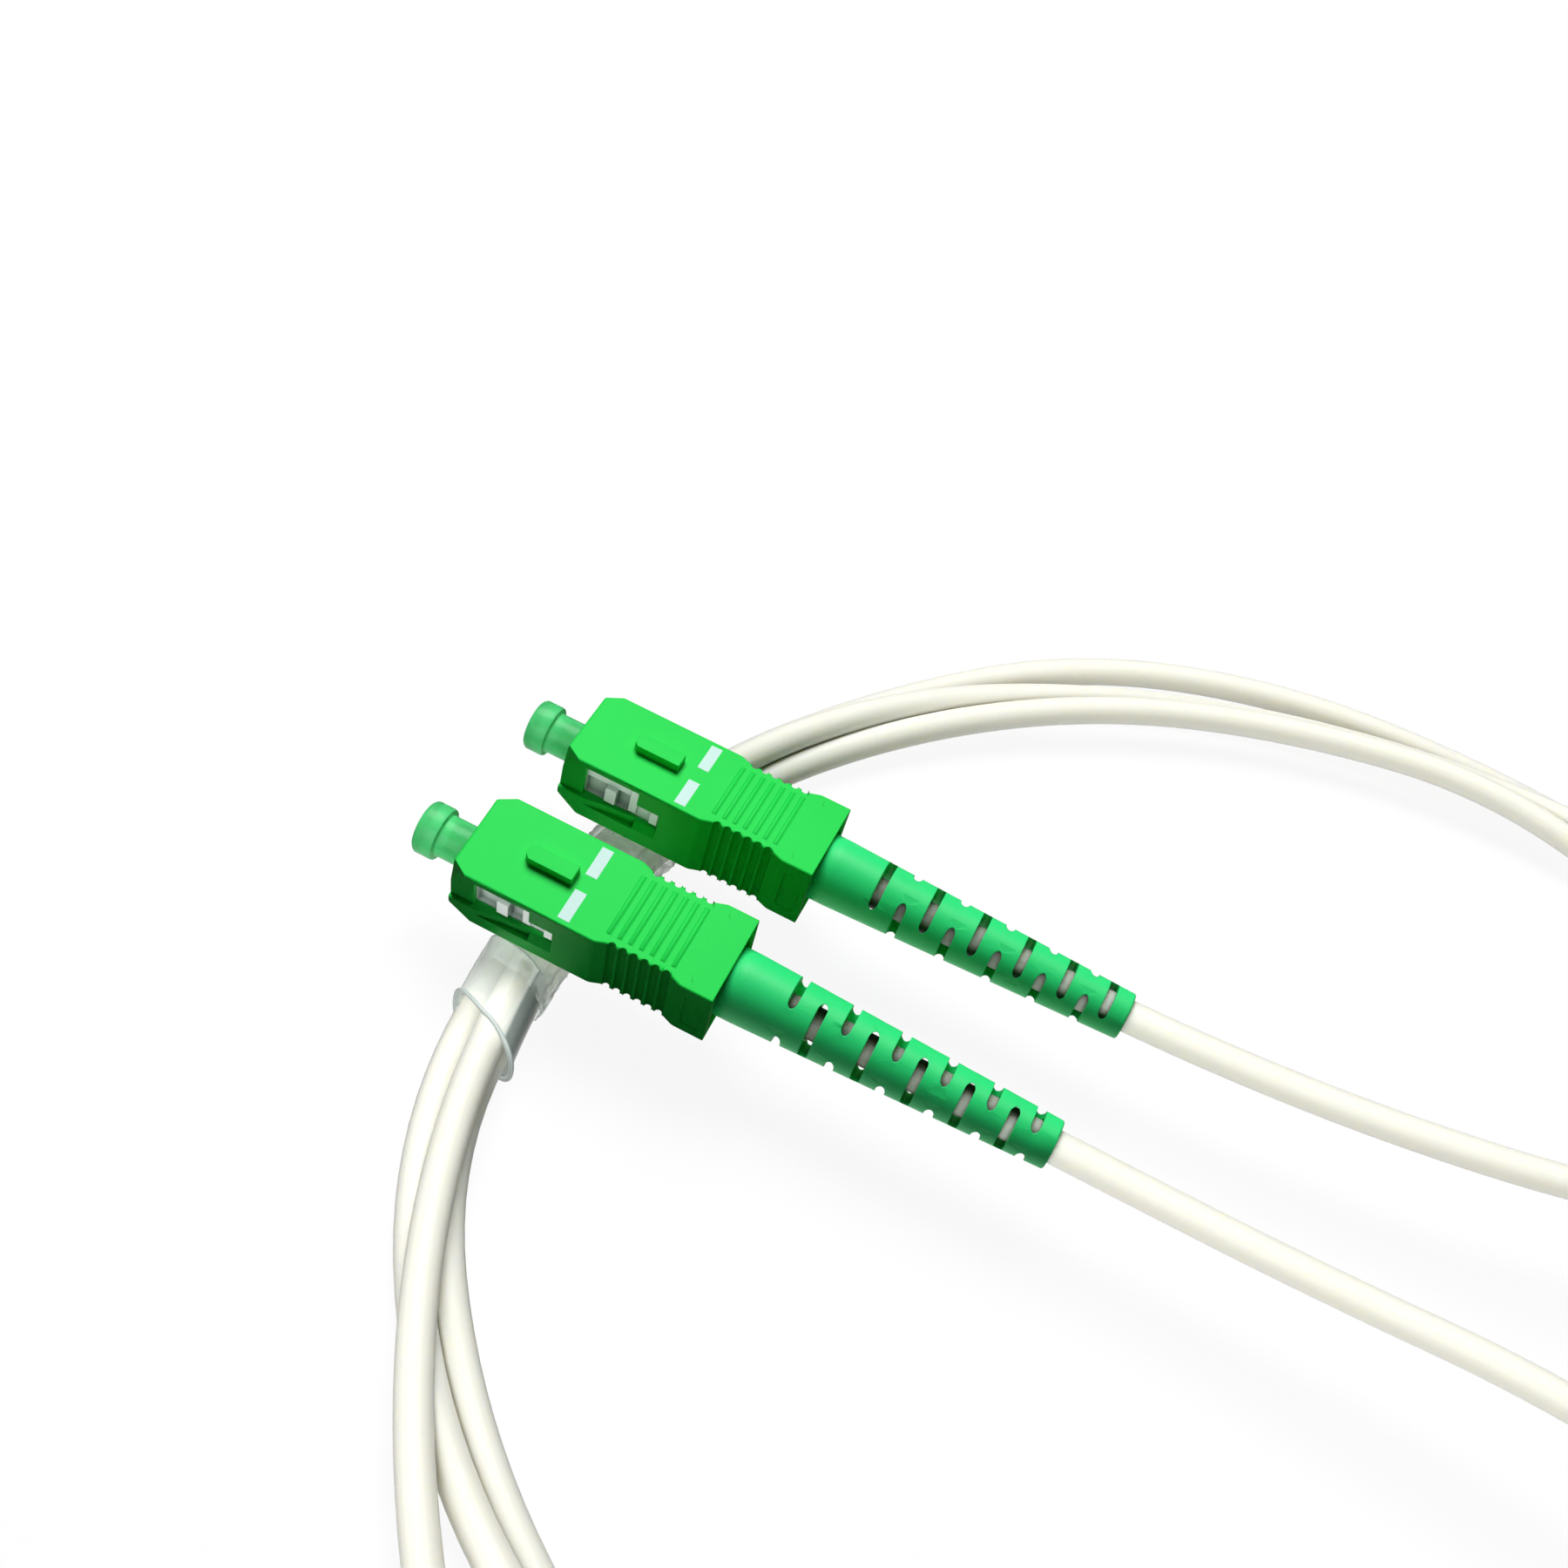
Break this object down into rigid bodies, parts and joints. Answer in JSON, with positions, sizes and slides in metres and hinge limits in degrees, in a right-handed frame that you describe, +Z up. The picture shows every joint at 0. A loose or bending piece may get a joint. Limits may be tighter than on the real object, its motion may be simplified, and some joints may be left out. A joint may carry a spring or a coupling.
{
  "type": "fibre patch cord",
  "caption": "Simplex fibre patch cord wound in a ring and tied with clear film, with square push-pull angled-polish plugs, slotted boots and dust caps on its ends.",
  "frame": {"origin": "on the flat underside of the clear tie film, on the wound ring's centreline where the plugs lie across it", "axes": "+X along both plugs from their noses to their boots and across the ring, +Z up from the surface that the ring lies on, +Y to the back plug"},
  "size_m": [0.1716, 0.1616, 0.0153],
  "materials": {
    "sleeve_green": "moulded, satin gloss",
    "boot_green": "moulded elastomer, satin",
    "frame_white": "moulded, slightly translucent",
    "cap_translucent_green": "soft translucent plastic",
    "ferrule_white": "polished zirconia ceramic",
    "flange_metal": "machined, nickel plated",
    "spring_steel": "drawn wire",
    "stop_metal": "machined brass, nickel plated",
    "crimp_metal": "drawn tube",
    "aramid_yellow": "yarn",
    "guide_tube_clear": "extruded",
    "buffer_white": "extruded",
    "cord_ivory": "extruded, satin",
    "tie_film": "clear stretch film, creased"
  },
  "bodies": {
    "root": {"plug_frame_front": "frame_white", "spring_front": "spring_steel", "spring_stop_front": "stop_metal", "crimp_ring_front": "crimp_metal", "aramid_yarn_front": "aramid_yellow", "guide_tube_front": "guide_tube_clear", "buffer_fibre_front": "buffer_white", "boot_front": "boot_green", "plug_frame_back": "frame_white", "spring_back": "spring_steel", "spring_stop_back": "stop_metal", "crimp_ring_back": "crimp_metal", "aramid_yarn_back": "aramid_yellow", "guide_tube_back": "guide_tube_clear", "buffer_fibre_back": "buffer_white", "boot_back": "boot_green", "cord_lead_front": "cord_ivory", "cord_lead_back": "cord_ivory", "cord_coil": "cord_ivory", "bundle_wrap": "tie_film"},
    "grip_front": {"grip_sleeve_front": "sleeve_green"},
    "cap_front": {"dust_cap_front": "cap_translucent_green"},
    "ferrule_carrier_front": {"ferrule_front": "ferrule_white", "ferrule_flange_front": "flange_metal"},
    "grip_back": {"grip_sleeve_back": "sleeve_green"},
    "cap_back": {"dust_cap_back": "cap_translucent_green"},
    "ferrule_carrier_back": {"ferrule_back": "ferrule_white", "ferrule_flange_back": "flange_metal"}
  },
  "joints": [
    {"name": "grip_slide_front", "type": "slide", "parent": "root", "child": "grip_front", "axis": [1, 0, 0], "range_m": [0, 0.0013]},
    {"name": "ferrule_slide_front", "type": "slide", "parent": "root", "child": "ferrule_carrier_front", "axis": [1, 0, 0], "range_m": [0, 0.001], "stiffness_N_per_m": 1000, "springref_m": -0.0078, "deforming": ["spring_front"]},
    {"name": "cap_slide_front", "type": "slide", "parent": "root", "child": "cap_front", "axis": [-1, 0, 0], "range_m": [0, 0.012]},
    {"name": "grip_slide_back", "type": "slide", "parent": "root", "child": "grip_back", "axis": [1, 0, 0], "range_m": [0, 0.0013]},
    {"name": "ferrule_slide_back", "type": "slide", "parent": "root", "child": "ferrule_carrier_back", "axis": [1, 0, 0], "range_m": [0, 0.001], "stiffness_N_per_m": 1000, "springref_m": -0.0078, "deforming": ["spring_back"]},
    {"name": "cap_slide_back", "type": "slide", "parent": "root", "child": "cap_back", "axis": [-1, 0, 0], "range_m": [0, 0.012]}
  ]
}
